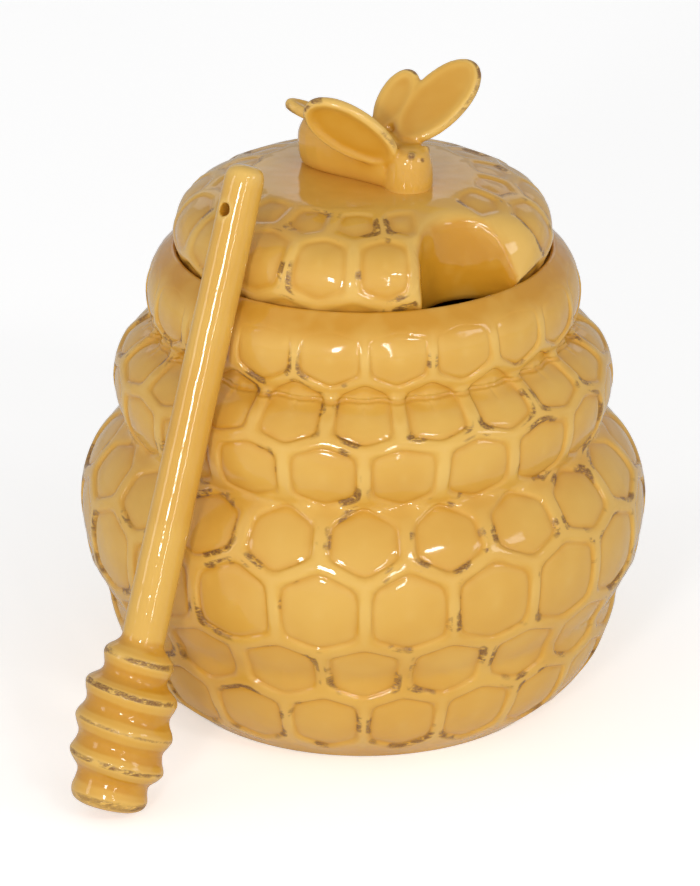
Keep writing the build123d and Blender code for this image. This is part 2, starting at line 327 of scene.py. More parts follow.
def keep_crests(piece, reach, hollow, crest, span):
    """Mark a piece's crests as worn and its hollows as pooled, each over a span of relief."""
    relief = measure_relief(piece, reach)
    keep_values(piece, "relief", relief - (hollow + crest) / 2)
    keep_values(piece, "worn", np.clip((relief - crest) / span, 0, 1))
    keep_values(piece, "pooled", np.clip((hollow - relief) / span, 0, 1))


def clear_worn(piece, is_clear):
    for corner, worn in zip(piece.data.vertices, piece.data.attributes["glaze_worn"].data):
        if is_clear(corner.co / MM):
            worn.value = 0


def scale_weights(piece, group, share_at):
    """Scale a group's weights by a share that depends on the height in mm."""
    weights = piece.vertex_groups[group]
    for corner in piece.data.vertices:
        for entry in corner.groups:
            if entry.group == weights.index:
                weights.add([corner.index], entry.weight * share_at(corner.co.z / MM), "REPLACE")


def finish_piece(piece, finish, body, *replaced):
    make_active(piece)
    bpy.ops.object.shade_smooth()
    piece.data.materials.clear()
    piece.data.materials.append(finish)
    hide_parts(*replaced)
    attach(piece, body)


# ---------------------------------------------------------------- glaze
HONEY = (0.735, 0.425, 0.078, 1)
DEEP_HONEY = (0.69, 0.37, 0.055, 1)
THIN_GLAZE = (0.82, 0.54, 0.15, 1)
POOLED_GLAZE = (0.61, 0.28, 0.02, 1)
BARE_CLAY = (0.21, 0.088, 0.015, 1)
# Wiping leaves marks longer than they are high.
WIPED = (1.0, 1.0, 2.6)
# Sizes in mm: the glaze's slow flow, its patches, the wiped strokes, their grain and the ripple.
FLOW_SIZE = 24.0
PATCH_SIZE = 9.0
STROKE_SIZE = 3.0
GRAIN_SIZE = 0.8
RIPPLE_SIZE = 6.0
# How far from its middle a crease is still full, and how far it ends, in mm.
CREASE_HALF_WIDTH = (0.15, 0.75)
# The roughness of clean glaze, from least to most, and what rubbing adds to it.
SHINE = (0.05, 0.11)
RUBBED_ROUGHNESS = 0.35
# The ripple's height and the depth of rubbed places, as shares of the bump's depth in mm.
RIPPLE_HEIGHT = 0.8
RUBBED_DEPTH = 0.3
BUMP_DEPTH = 0.25


def add_math(tree, operation, first, second, clamp=False):
    node = tree.nodes.new("ShaderNodeMath")
    node.operation = operation
    node.use_clamp = clamp
    for value, socket in ((first, node.inputs[0]), (second, node.inputs[1])):
        if isinstance(value, (int, float)):
            socket.default_value = value
        else:
            tree.links.new(value, socket)
    return node.outputs[0]


def add_range(tree, value, low, high, to_low=0.0, to_high=1.0):
    node = tree.nodes.new("ShaderNodeMapRange")
    node.interpolation_type = "SMOOTHSTEP"
    tree.links.new(value, node.inputs["Value"])
    for name, number in (("From Min", low), ("From Max", high), ("To Min", to_low), ("To Max", to_high)):
        if isinstance(number, (int, float)):
            node.inputs[name].default_value = number
        else:
            tree.links.new(number, node.inputs[name])
    return node.outputs["Result"]


def add_noise(tree, place, size, detail=3.0, roughness=0.5):
    """Noise whose lumps are about a size in metres across."""
    node = tree.nodes.new("ShaderNodeTexNoise")
    node.inputs["Scale"].default_value = 1 / size
    node.inputs["Detail"].default_value = detail
    node.inputs["Roughness"].default_value = roughness
    tree.links.new(place, node.inputs["Vector"])
    return node.outputs["Fac"]


def add_mix(tree, share, first, second):
    node = tree.nodes.new("ShaderNodeMix")
    node.data_type = "RGBA"
    tree.links.new(share, node.inputs["Factor"])
    for colour, socket in ((first, node.inputs[6]), (second, node.inputs[7])):
        if isinstance(colour, tuple):
            socket.default_value = colour
        else:
            tree.links.new(colour, socket)
    return node.outputs[2]


def make_glaze_group():
    """Honey glaze: thin and pale on edges, pooled and amber in hollows, rubbed brown in places."""
    tree = bpy.data.node_groups.new("honey_glaze", "ShaderNodeTree")
    for name in ("Pooled", "Worn", "Stained", "Relief", "Paleness", "Depth", "Rubbed", "Crease"):
        tree.interface.new_socket(name, in_out="INPUT", socket_type="NodeSocketFloat")
    for name in ("Color", "Roughness", "Height"):
        kind = "NodeSocketColor" if name == "Color" else "NodeSocketFloat"
        tree.interface.new_socket(name, in_out="OUTPUT", socket_type=kind)
    inputs = tree.nodes.new("NodeGroupInput").outputs
    outputs = tree.nodes.new("NodeGroupOutput").inputs
    place = tree.nodes.new("ShaderNodeTexCoord").outputs["Object"]

    wiped = tree.nodes.new("ShaderNodeVectorMath")
    wiped.operation = "MULTIPLY"
    wiped.inputs[1].default_value = WIPED
    tree.links.new(place, wiped.inputs[0])

    flow = add_noise(tree, place, FLOW_SIZE * MM, 2.0)
    patches = add_noise(tree, place, PATCH_SIZE * MM, 2.0)
    strokes = add_noise(tree, wiped.outputs[0], STROKE_SIZE * MM, 4.0, 0.65)
    grain = add_noise(tree, wiped.outputs[0], GRAIN_SIZE * MM, 3.0, 0.7)

    # Honey yellow, deeper here and there, paler where the glaze is thin, and amber where it pools.
    body = add_mix(tree, add_range(tree, flow, 0.35, 0.65), HONEY, DEEP_HONEY)
    thin = add_math(tree, "MULTIPLY", add_range(tree, inputs["Relief"], 0.0, 0.3), inputs["Paleness"])
    body = add_mix(tree, thin, body, THIN_GLAZE)
    uneven = add_range(tree, patches, 0.3, 0.65, 0.5, 1.0)
    axes = tree.nodes.new("ShaderNodeSeparateXYZ")
    tree.links.new(place, axes.inputs[0])
    off_crease = add_math(tree, "SUBTRACT", axes.outputs["Z"], inputs["Crease"])
    off_crease = add_math(tree, "ADD", off_crease, add_math(tree, "MULTIPLY", patches, MM))
    off_crease = add_math(tree, "ABSOLUTE", off_crease, 0.0)
    crease = add_range(tree, off_crease, *(width * MM for width in CREASE_HALF_WIDTH), 1.0, 0.0)
    pooled = add_math(tree, "MAXIMUM", inputs["Pooled"], crease)
    pooled = add_math(tree, "MULTIPLY", pooled, uneven)
    pooled = add_math(tree, "MULTIPLY", pooled, inputs["Depth"], clamp=True)
    body = add_mix(tree, pooled, body, POOLED_GLAZE)

    # Worn edges show clay in broken strokes, only in patches, and in more of them the more the piece
    # is rubbed. Stained places are brown in any case.
    limit = add_math(tree, "SUBTRACT", 0.75, add_math(tree, "MULTIPLY", inputs["Rubbed"], 0.25))
    where = add_range(tree, patches, limit, add_math(tree, "ADD", limit, 0.08))
    worn = add_math(tree, "MULTIPLY", add_range(tree, inputs["Worn"], 0.25, 0.8), where)
    worn = add_math(tree, "MULTIPLY", worn, add_range(tree, strokes, 0.38, 0.50))
    grains = add_range(tree, grain, 0.34, 0.56, 0.4, 0.95)
    rubbed = add_math(tree, "MAXIMUM", worn, inputs["Stained"])
    rubbed = add_math(tree, "MULTIPLY", rubbed, grains, clamp=True)
    tree.links.new(add_mix(tree, rubbed, body, BARE_CLAY), outputs["Color"])

    # Rubbed clay is duller and a little sunk, and the clean glaze ripples softly.
    shine = add_range(tree, flow, 0.3, 0.7, *SHINE)
    shine = add_math(tree, "ADD", shine, add_math(tree, "MULTIPLY", rubbed, RUBBED_ROUGHNESS))
    tree.links.new(shine, outputs["Roughness"])
    ripple = add_noise(tree, place, RIPPLE_SIZE * MM, 1.0)
    ripple = add_math(tree, "MULTIPLY", ripple, RIPPLE_HEIGHT)
    sunk = add_math(tree, "ADD", add_math(tree, "MULTIPLY", rubbed, RUBBED_DEPTH), crease)
    tree.links.new(add_math(tree, "SUBTRACT", ripple, sunk), outputs["Height"])
    return tree


def make_glaze(name, group, **values):
    material = bpy.data.materials.new(name)
    material.use_nodes = True
    tree = material.node_tree
    shader = tree.nodes["Principled BSDF"]
    glaze = tree.nodes.new("ShaderNodeGroup")
    glaze.node_tree = group
    for key, value in values.items():
        glaze.inputs[key].default_value = value
    for attribute in ("pooled", "worn", "stained", "relief"):
        source = tree.nodes.new("ShaderNodeAttribute")
        source.attribute_name = "glaze_" + attribute
        tree.links.new(source.outputs["Fac"], glaze.inputs[attribute.title()])
    bump = tree.nodes.new("ShaderNodeBump")
    bump.inputs["Strength"].default_value = 1.0
    bump.inputs["Distance"].default_value = BUMP_DEPTH * MM
    tree.links.new(glaze.outputs["Color"], shader.inputs["Base Color"])
    tree.links.new(glaze.outputs["Roughness"], shader.inputs["Roughness"])
    tree.links.new(glaze.outputs["Height"], bump.inputs["Height"])
    tree.links.new(bump.outputs["Normal"], shader.inputs["Normal"])
    shader.inputs["IOR"].default_value = 1.5
    return material


# ---------------------------------------------------------------- honeycomb relief
# How deep a corner is pressed, in mm, how much glaze pools on it, and how rubbed it is.
RELIEF_GROUPS = ("pressed", "pooled", "worn")
EDGE_CUTS = 2
# A corner's height in mm and its azimuth in degrees are off their place by up to this.
CORNER_WANDER = 0.45
# How far, in mm, the relief is smoothed to find the glaze's thin edges.
RELIEF_REACH = 1.5


def wander():
    return rng.uniform(-CORNER_WANDER, CORNER_WANDER)


def honeycomb_cage(name, columns, rows, first_cell, corner_at, is_cell):
    """Rows of corners round the axis, with an edge taken out down the middle of every cell.

    The first cell is the first half column, 0 or 1, that has a cell on the lowest row.
    """
    corners = 2 * columns
    # The cage's size doesn't matter yet, because every corner is placed below.
    cage = start_ring(name, corners, 50 * MM)
    for _ in range(rows - 1):
        bpy.ops.mesh.extrude_region_move(TRANSFORM_OT_translate={"value": (0, 0, MM)})
    bpy.ops.mesh.select_all(action="DESELECT")
    bpy.ops.mesh.select_mode(type="EDGE")
    mesh = edit_mesh()
    mesh.verts.index_update()
    places = {v: (v.index // corners, round(azimuth_of(v.co) * columns / 180)) for v in mesh.verts}
    for edge in mesh.edges:
        (row, column), (next_row, _) = sorted(places[v] for v in edge.verts)
        middle = next_row == row + 1 and (row + column) % 2 == first_cell
        edge.select_set(middle and is_cell(column))
    for corner, (row, column) in places.items():
        corner.co = corner_at(row, column)
    bmesh.update_edit_mesh(cage.data)
    bpy.ops.mesh.dissolve_edges(use_verts=False)
    return cage


def weigh(*weights):
    """In edit mode, give the selected corners their weight in each group."""
    for group, weight in zip(RELIEF_GROUPS, weights):
        bpy.ops.object.vertex_group_set_active(group=group)
        bpy.context.scene.tool_settings.vertex_group_weight = weight
        bpy.ops.object.vertex_group_assign()


def press_cells(piece, steps, ridge=lambda height: 1.0):
    """Inset every cell in steps, rounder each time, beside ridges of a share of their full width."""
    for group in RELIEF_GROUPS:
        piece.vertex_groups.new(name=group)
    bpy.ops.mesh.select_mode(type="FACE")
    bpy.ops.mesh.select_all(action="SELECT")
    bpy.ops.mesh.subdivide(number_cuts=EDGE_CUTS)
    # Only a cell has more than four sides.
    select_where("faces", lambda face: len(face.verts) > 4 * (EDGE_CUTS + 1))
    for further_in, rounder, *weights in steps:
        bpy.ops.mesh.inset(thickness=0, use_individual=True)
        for face in edit_mesh().faces:
            if face.select:
                heart = face.calc_center_median()
                away = [corner.co - heart for corner in face.verts]
                mean = sum(arm.length for arm in away) / len(away)
                near = min(arm.length for arm in away)
                share = -further_in
                if further_in > 0:
                    share = 1 - further_in * MM * ridge(heart.z / MM) / near
                for corner, arm in zip(face.verts, away):
                    corner.co = heart + arm.lerp(arm.normalized() * mean, rounder) * share
        weigh(*weights)
    bpy.ops.mesh.poke()
    bpy.ops.mesh.select_mode(type="VERT")
    # Only a cell's middle has so many edges.
    select_where("verts", lambda corner: len(corner.link_edges) > 3 * (EDGE_CUTS + 1))
    weigh(*weights)


def press_in(piece):
    apply_modifier(
        piece, "DISPLACE", direction="NORMAL", strength=-MM, mid_level=0, vertex_group="pressed"
    )


# ---------------------------------------------------------------- pot
POT_COLUMNS = 20
# The arcs of the pot's side, as (radius, height) in mm: where each is upright, and its other end.
POT_ARCS = (
    ((61.0, 27.5), (45.5, 1.2)),
    ((67.5, 48.0), (61.0, 27.5)),
    ((67.5, 48.0), (56.0, 68.6)),
    ((59.3, 79.0), (56.0, 68.6)),
    ((59.3, 79.0), (48.4, 92.2)),
    ((51.3, 100.5), (48.4, 92.2)),
    ((51.3, 100.5), (45.3, 111.4)),
)
# Corners of the honeycomb up the pot, in mm: height at the odd half columns, and at the even.
POT_CORNERS = (
    (4.0, 7.5),
    (24.0, 21.0),
    (35.1, 38.3),
    (58.4, 54.0),
    (67.0, 70.2),
    (85.7, 83.3),
    (93.6, 98.3),
    (109.6, 108.4),
)
# Above the top waist the ridges are slimmer and the cells fade towards the rim, as does the
# lowest row towards the foot. A fade is its start and end in mm, and the share left at its end.
TOP_WAIST = 92.2
TOP_RIDGE = 0.68
RIM_FADE = (100.0, 106.5, 0.12)
FOOT_FADE = (20.0, 8.0, 0.8)
# Glaze pools below the mouth's edge, outside a radius: from a height, fully at another, so much.
RIM_POOL = (105.0, 110.0, 1.7)
RIM_POOL_RADIUS = 44.0
# Steps from a cell's border to its middle: how much further in, in mm, or where it is negative the
# share of its size that it keeps, then how much rounder, and the weights of the relief groups.
POT_CELL_STEPS = (
    (0.85, 0.04, 0.03, 0.0, 0.8),
    (0.55, 0.06, 0.22, 0.1, 1.0),
    (0.35, 0.08, 0.68, 0.9, 0.8),
    (0.35, 0.08, 0.74, 1.1, 0.4),
    (0.45, 0.05, 0.60, 0.6, 0.1),
    (1.20, 0.08, 0.53, 0.2, 0.0),
    (-0.45, 0.08, 0.45, 0.1, 0.0),
)
# Glaze fills a fine crease round the pot at this height.
POT_CREASE = 92.7
# The rim and the inside, as (radius, height) rings in mm.
RIM_FOOT = 110.0
RIM_RINGS = (
    (45.7, 111.35),
    (45.0, 112.1),
    (44.1, 112.0),
    (43.75, 111.0),
    (43.7, 109.5),
    (43.3, 109.3),
    (42.2, 109.3),
    (41.9, 108.9),
    (41.9, 106.6),
)
INSIDE_RINGS = (
    (43.6, 104.6),
    (46.3, 101.0),
    (45.3, 96.0),
    (43.9, 92.4),
    (50.0, 88.8),
    (54.3, 80.5),
    (53.0, 71.5),
    (52.6, 68.0),
    (60.0, 60.5),
    (62.9, 48.0),
    (60.0, 35.0),
    (55.5, 22.5),
    (49.0, 11.0),
    (44.0, 6.6),
    (38.0, 5.6),
    (18.0, 5.5),
)
FOOT_RINGS = ((45.4, 0.9), (44.9, 0.15), (43.8, 0.0), (36.0, 0.0), (16.0, 0.0))


def pot_side(azimuth, height):
    """The pot's bare side, before its cells are pressed in."""
    for (radius, level), (end_radius, end_level) in POT_ARCS:
        if min(level, end_level) <= height <= max(level, end_level):
            narrowing = radius - end_radius
            bend = (narrowing**2 + (end_level - level) ** 2) / (2 * narrowing)
            across = radius - bend + math.sqrt(bend**2 - (height - level) ** 2)
            return polar(azimuth, across * MM, height * MM)


def onto_pot(corner):
    return pot_side(azimuth_of(corner), corner.z / MM)


def pot_corner(row, column):
    """Each corner is a little off its place, as hand work is."""
    height = POT_CORNERS[row][1 - column % 2] + wander()
    return pot_side(column * 180 / POT_COLUMNS + wander(), height)


def fade(height, start, end, least):
    """1 up to the start, and the least from the end on."""
    return 1 - (1 - least) * max(0, min(1, (height - start) / (end - start)))


def pool_under_rim(pot):
    """The glaze gathers in a band below the mouth's edge."""
    low, high, most = RIM_POOL
    for corner, pooled in zip(pot.data.vertices, pot.data.attributes["glaze_pooled"].data):
        if corner.co.xy.length > RIM_POOL_RADIUS * MM and corner.co.z > low * MM:
            band = most * min(1, (corner.co.z / MM - low) / (high - low))
            pooled.value = max(pooled.value, band)


def make_pot():
    pot = honeycomb_cage("pot_shell", POT_COLUMNS, len(POT_CORNERS), 1, pot_corner, lambda column: True)
    press_cells(pot, POT_CELL_STEPS, lambda height: TOP_RIDGE if height > TOP_WAIST else 1.0)
    bpy.ops.mesh.select_all(action="SELECT")
    place_corners(onto_pot)
    face_outwards()
    leave_edit()
    for group in RELIEF_GROUPS:
        scale_weights(pot, group, lambda height: fade(height, *RIM_FADE) * fade(height, *FOOT_FADE))
    press_in(pot)
    edit("EDGE")
    select_open_edges(above=TOP_WAIST)
    extrude_ring(lambda corner: pot_side(azimuth_of(corner), RIM_FOOT))
    for ring in RIM_RINGS + INSIDE_RINGS:
        extrude_ring(turned_ring(*ring))
    close_ring()
    select_open_edges()
    for ring in FOOT_RINGS:
        extrude_ring(turned_ring(*ring))
    close_ring()
    face_outwards()
    leave_edit()
    apply_modifier(pot, "SUBSURF", levels=1, render_levels=1, use_limit_surface=False)
    for group in ("pooled", "worn"):
        keep_weight(pot, group)
    pool_under_rim(pot)
    keep_values(pot, "relief", measure_relief(pot, RELIEF_REACH))
    finish_piece(pot, glazes["pot"], "pot", "pot")


# ---------------------------------------------------------------- lid
# The lid's bare outline from its flat top to its seat, as (radius, height) in mm.
LID_OUTLINE = (
    (0.0, 129.5),
    (24.0, 129.5),
    (35.5, 126.4),
    (42.4, 122.4),
    (44.7, 116.0),
    (43.2, 110.1),
    (42.9, 109.3),
)
LID_OUTLINE_STEPS = 8
LID_FORM_SIDES = 136
LID_COLUMNS = 17
LID_TURN = -3.1
# Corners of the lid's relief, as (radius, height) in mm at the even half columns and at the odd.
LID_CORNERS = (
    ((25.0, 129.4), (26.0, 129.3)),
    ((37.0, 125.8), (34.5, 126.7)),
    ((44.7, 115.6), (44.5, 112.8)),
    ((43.3, 104.0), (43.3, 104.0)),
)
# The lowest row of cells is cut off at this height, and open there.
LID_CUT = 110.2
NOTCH_AZIMUTH = 35.4
NOTCH_CENTRE_RADIUS = 45.7
NOTCH_RADIUS = 13.8
NOTCH_WALL = 3.6
# The cylinder that bites the notch out of the bare form.
BITE_SIDES = 96
BITE_MIDDLE = 119.3
BITE_LENGTH = 60.0
# How much glaze pools in the notch.
NOTCH_POOL = 1.6
# Half columns that the notch takes, as (azimuth, radius) at its upper edge and below it.
NOTCH_CORNERS = {
    2: ((17.2, 37.0), (15.2, 44.6)),
    3: ((21.5, 36.0), (17.9, 44.6)),
    4: ((35.4, 31.9), (35.4, 31.9)),
    5: ((49.3, 36.0), (52.9, 44.6)),
    6: ((62.0, 37.0), (66.0, 44.6)),
}
# The half columns whose cells the notch takes.
NOTCH_COLUMNS = (3, 4, 5)
# Steps like the pot's.
LID_CELL_STEPS = (
    (0.75, 0.08, 0.06, 0.0, 0.8),
    (0.50, 0.10, 0.22, 0.1, 1.0),
    (0.50, 0.12, 0.44, 0.7, 0.7),
    (0.60, 0.14, 0.50, 0.9, 0.2),
    (0.90, 0.12, 0.44, 0.4, 0.0),
    (-0.60, 0.05, 0.38, 0.2, 0.0),
    (-0.50, 0.05, 0.34, 0.15, 0.0),
)
LID_TOP_EDGE = 120.0
LID_TOP_RINGS = ((23.0, 129.5), (16.0, 129.5), (8.0, 129.5))
# The underside, as (inset from the outer wall, height) in mm, from the seat to the hollow.
SEAT_RADIUS = 42.9
SEAT_HEIGHT = 109.3
UNDERSIDE = (
    (0.0, SEAT_HEIGHT),
    (2.2, SEAT_HEIGHT),
    (4.1, 104.7),
    (4.6, 104.5),
    (8.0, 104.5),
    (8.4, 104.8),
    (6.4, 109.3),
    (3.6, 116.0),
    (5.4, 120.3),
    (12.0, 122.4),
    (18.9, 124.0),
    (30.0, 124.0),
)
# Within so many degrees of the notch there is no skirt, and the notch's wall goes down from the seat
# to its foot over the first few mm inside a radius.
SKIRT_GAP = 26.0
NOTCH_FOOT = 106.9
NOTCH_FOOT_RADIUS = 40.8
NOTCH_FOOT_FADE = 2.0
# How often a corner is moved inside the outline and then out of the notch, to settle where they meet.
MEETING_ROUNDS = 4


def lid_corner(row, column):
    radius, height = LID_CORNERS[row][column % 2]
    azimuth = LID_TURN + column * 180 / LID_COLUMNS + wander()
    if row and column in NOTCH_CORNERS:
        azimuth, radius = NOTCH_CORNERS[column][min(row, 2) - 1]
    return polar(azimuth, radius * MM, height * MM)


def within_lid(inset, height):
    """For extrude_ring: the lid's outline at its seat, moved inwards, and the notch with it."""
    notch = polar(NOTCH_AZIMUTH, NOTCH_CENTRE_RADIUS * MM, 0)
    clear = (NOTCH_RADIUS + min(inset, NOTCH_WALL)) * MM

    def place(corner):
        spot = Vector((corner.x, corner.y, 0))
        for _ in range(MEETING_ROUNDS):
            spot *= min(1, (SEAT_RADIUS - inset) * MM / spot.length)
            away = spot - notch
            spot = notch + away * max(1, clear / away.length)
        spot.z = height * MM
        if abs(azimuth_of(spot) - NOTCH_AZIMUTH) < SKIRT_GAP:
            in_mouth = max(0, min(1, (NOTCH_FOOT_RADIUS - spot.xy.length / MM) / NOTCH_FOOT_FADE))
            foot = SEAT_HEIGHT - (SEAT_HEIGHT - NOTCH_FOOT) * in_mouth
            on_wall = height == SEAT_HEIGHT and inset < NOTCH_WALL
            spot.z = (foot if on_wall else max(height, foot)) * MM
        return spot

    return place


def smooth_line(points, steps):
    """A soft line through the points, as a drawn profile."""
    points = [Vector(point) for point in points]
    line = []
    for before, start, end, after in zip(points, points[1:], points[2:], points[3:]):
        reach = (end - start).length
        leave = (end - before).normalized() * reach / 3
        arrive = (after - start).normalized() * reach / 3
        line += interpolate_bezier(start, start + leave, end - arrive, end, steps + 1)[:-1]
    return [points[0], *line, *points[-2:]]


def make_lid_form():
    """The lid's bare outside with its notch, for the relief to lie on."""
    outline = smooth_line(LID_OUTLINE, LID_OUTLINE_STEPS)

    def place(turn, number):
        radius, height = outline[number + 1]
        return Vector((math.cos(turn) * radius, math.sin(turn) * radius, height))

    form = make_tube("lid_form", LID_FORM_SIDES, len(outline) - 1, place)
    deselect()
    notch = polar(NOTCH_AZIMUTH, NOTCH_CENTRE_RADIUS, BITE_MIDDLE) * MM
    bpy.ops.mesh.primitive_cylinder_add(
        vertices=BITE_SIDES, radius=NOTCH_RADIUS * MM, depth=BITE_LENGTH * MM, location=notch
    )
    bite = bpy.context.object
    apply_modifier(form, "BOOLEAN", operation="DIFFERENCE", object=bite, solver="EXACT")
    bpy.data.objects.remove(bite)
    return form


def pool_in_notch(lid):
    notch = polar(NOTCH_AZIMUTH, NOTCH_CENTRE_RADIUS * MM, 0)
    for corner, pooled in zip(lid.data.vertices, lid.data.attributes["glaze_pooled"].data):
        away = (corner.co - notch).xy.length / MM - NOTCH_RADIUS
        if corner.co.z > NOTCH_FOOT * MM and away < 1:
            pooled.value = max(pooled.value, NOTCH_POOL * min(1, 1 - away))


def make_lid():
    lid = honeycomb_cage(
        "lid_shell",
        LID_COLUMNS,
        len(LID_CORNERS),
        0,
        lid_corner,
        lambda column: column not in NOTCH_COLUMNS,
    )
    press_cells(lid, LID_CELL_STEPS)
    bpy.ops.mesh.select_all(action="SELECT")
    bpy.ops.mesh.bisect(plane_co=(0, 0, LID_CUT * MM), plane_no=(0, 0, 1), clear_inner=True)
    face_outwards()
    leave_edit()
    form = make_lid_form()
    apply_modifier(lid, "SHRINKWRAP", target=form, wrap_method="NEAREST_SURFACEPOINT")
    bpy.data.objects.remove(form)
    press_in(lid)
    edit("EDGE")
    select_open_edges(above=LID_TOP_EDGE)
    for ring in LID_TOP_RINGS:
        extrude_ring(turned_ring(*ring))
    close_ring()
    select_open_edges()
    for inset, height in UNDERSIDE:
        extrude_ring(within_lid(inset, height))
    close_ring()
    face_outwards()
    leave_edit()
    apply_modifier(lid, "SUBSURF", levels=1, render_levels=1, use_limit_surface=False)
    for group in ("pooled", "worn"):
        keep_weight(lid, group)
    pool_in_notch(lid)
    keep_values(lid, "relief", measure_relief(lid, RELIEF_REACH))
    finish_piece(lid, glazes["lid"], "lid", "lid")


# ---------------------------------------------------------------- bee
# Each wing is an oval plate: its two ends' middles, in mm, their radii, the way it faces, its half
# width, and how far it is let down into the body.
WINGS = (
    ((11.6, -3.5, 142.4), (21.8, 0.5, 151.6), 5.1, 6.2, (-0.45, -0.72, 0.53), 7.0, 0.0),
    ((5.3, 0.0, 143.0), (9.6, 4.0, 149.6), 3.5, 4.1, (-0.35, -0.75, 0.50), 4.7, 0.0),
    ((5.3, -11.8, 138.9), (-8.8, -11.0, 147.6), 3.0, 5.2, (0.20, 0.90, 0.38), 7.1, 0.4),
    ((-1.2, -2.0, 140.5), (-15.1, 0.6, 145.4), 2.6, 3.4, (0.20, -0.15, 0.97), 3.3, 0.0),
)
WING_SIDES = 40
# Across a wing's rolled edge, in mm: how far in from the outline, and how far off its middle plane.
WING_EDGE = (
    (3.2, -0.65),
    (2.5, -0.85),
    (1.4, -1.45),
    (0.4, -1.10),
    (0.0, 0.00),
    (0.4, 1.10),
    (1.4, 1.45),
    (2.3, 1.20),
    (3.2, 1.10),
)
# The head stands on the lid like a thumb, as (radius, height) in mm, with two eyes and a mouth.
HEAD_SPOT = (10.3, -9.2)
HEAD_SIDES = 32
HEAD_RINGS = (
    (5.3, 128.6),
    (5.8, 130.2),
    (5.75, 133.0),
    (5.6, 135.2),
    (5.2, 137.0),
    (4.4, 138.4),
    (2.6, 139.5),
)
EYES = ((11.0, -13.3, 138.4), (14.3, -9.0, 138.3))
EYE_RADIUS = 1.1
# Spots where brown stays, each with its radius in mm.
STAINS = (((11.0, -14.0, 138.6), 1.2), ((14.9, -8.9, 138.5), 1.1), ((13.5, -12.9, 137.2), 0.7))
# The body's rings as (place along its heading, radius, height of the middle) in mm. Its lower half
# reaches down into the lid.
BODY_CENTRE = Vector((-2.6, 0.3, 0.0))
HEADING = Vector((0.766, -0.643, 0.0))
BODY_SIDES = 40
BODY_FOOT = 128.8
BODY_RINGS = (
    (-14.2, 2.2, 136.2),
    (-13.2, 4.2, 136.5),
    (-11.0, 6.3, 137.0),
    (-8.0, 7.5, 137.3),
    (-4.5, 7.9, 137.4),
    (-1.0, 7.3, 137.3),
    (3.0, 6.3, 136.9),
    (7.0, 5.7, 136.4),
    (10.5, 5.4, 135.9),
    (13.5, 4.9, 135.0),
)
# The power that squares the body's lower half, where 1 would leave it round.
BODY_SQUARING = 0.6
GLAZE_VOXEL = 0.4
BEE_SMOOTHING = 8
# For keep_crests, in mm: its reach, the relief below which glaze pools, the relief above which it is
# worn, and the span of both.
BEE_CRESTS = (1.6, 0.18, 0.58, 0.3)


def make_wing(root, tip, root_radius, tip_radius, facing, half_width, let_down):
    root, tip = Vector(root), Vector(tip)
    along = (tip - root).normalized()
    across = along.cross(Vector(facing)).normalized()
    front = across.cross(along)
    low_end, high_end = root - along * root_radius, tip + along * tip_radius
    middle = (low_end + high_end) / 2 + across * let_down
    half_length = (high_end - low_end).length / 2
    egg = (tip_radius - root_radius) / half_length / 2

    def place(turn, number):
        inset, lift = WING_EDGE[number]
        length = math.cos(turn) * (half_length - inset)
        width = math.sin(turn) * (1 + egg * math.cos(turn)) * (half_width - inset)
        return middle + along * length + across * width + front * lift

    return make_tube("wing", WING_SIDES, len(WING_EDGE), place)


def make_head():
    spot = Vector((*HEAD_SPOT, 0))

    def place(turn, number):
        radius, height = HEAD_RINGS[number]
        return spot + Vector((math.cos(turn) * radius, math.sin(turn) * radius, height))

    return make_tube("head", HEAD_SIDES, len(HEAD_RINGS), place)


def make_body():
    side = Vector((0, 0, 1)).cross(HEADING)

    def place(turn, number):
        along, radius, height = BODY_RINGS[number]
        across, up = math.cos(turn), math.sin(turn)
        if up < 0:
            up *= (height - BODY_FOOT) / radius
            across = math.copysign(abs(across) ** BODY_SQUARING, across)
        spot = BODY_CENTRE + HEADING * along + side * across * radius
        return spot + Vector((0, 0, height + up * radius))

    return make_tube("body", BODY_SIDES, len(BODY_RINGS), place)


def make_ball(place, radius):
    deselect()
    bpy.ops.mesh.primitive_uv_sphere_add(
        segments=24, ring_count=16, radius=radius * MM, location=Vector(place) * MM
    )
    return bpy.context.object


def stain(piece):
    """Brown stays in the hollows of the face."""
    stained = np.zeros(len(piece.data.vertices))
    for number, corner in enumerate(piece.data.vertices):
        for spot, radius in STAINS:
            away = (corner.co / MM - Vector(spot)).length
            stained[number] = max(stained[number], min(1, 2 * (1 - away / radius)))
    keep_values(piece, "stained", stained)


def glaze_over(piece, rounds):
    """Run the parts of a piece into one skin with soft inner corners, as a thick glaze does."""
    apply_modifier(piece, "REMESH", mode="VOXEL", voxel_size=GLAZE_VOXEL * MM, adaptivity=0)
    apply_modifier(piece, "SMOOTH", factor=0.5, iterations=rounds)


def make_bee():
    parts = [make_body(), make_head()]
    parts += [make_wing(*wing) for wing in WINGS]
    parts += [make_ball(place, EYE_RADIUS) for place in EYES]
    deselect()
    for part in parts:
        part.select_set(True)
    bee = parts[0]
    bpy.context.view_layer.objects.active = bee
    bpy.ops.object.join()
    bee.name = "bee"
    glaze_over(bee, BEE_SMOOTHING)
    stain(bee)
    keep_crests(bee, *BEE_CRESTS)
    names = ("fore_wing_left", "hind_wing_left", "fore_wing_right", "hind_wing_right")
    finish_piece(bee, glazes["bee"], "lid", "bee_body", "bee_head", *names)


# ---------------------------------------------------------------- dipper
# Its foot on the table, the way its handle rises, and the way it faces away from the pot.
DIPPER_FOOT = Vector((-58.989, -75.231, 2.424))
HANDLE_AXIS = Vector((0.21665, 0.28751, 0.93295))
HANDLE_OUT = Vector((-0.56147, -0.74509, 0.36))
HANDLE_SIDE = HANDLE_AXIS.cross(HANDLE_OUT)
DIPPER_SIDES = 64
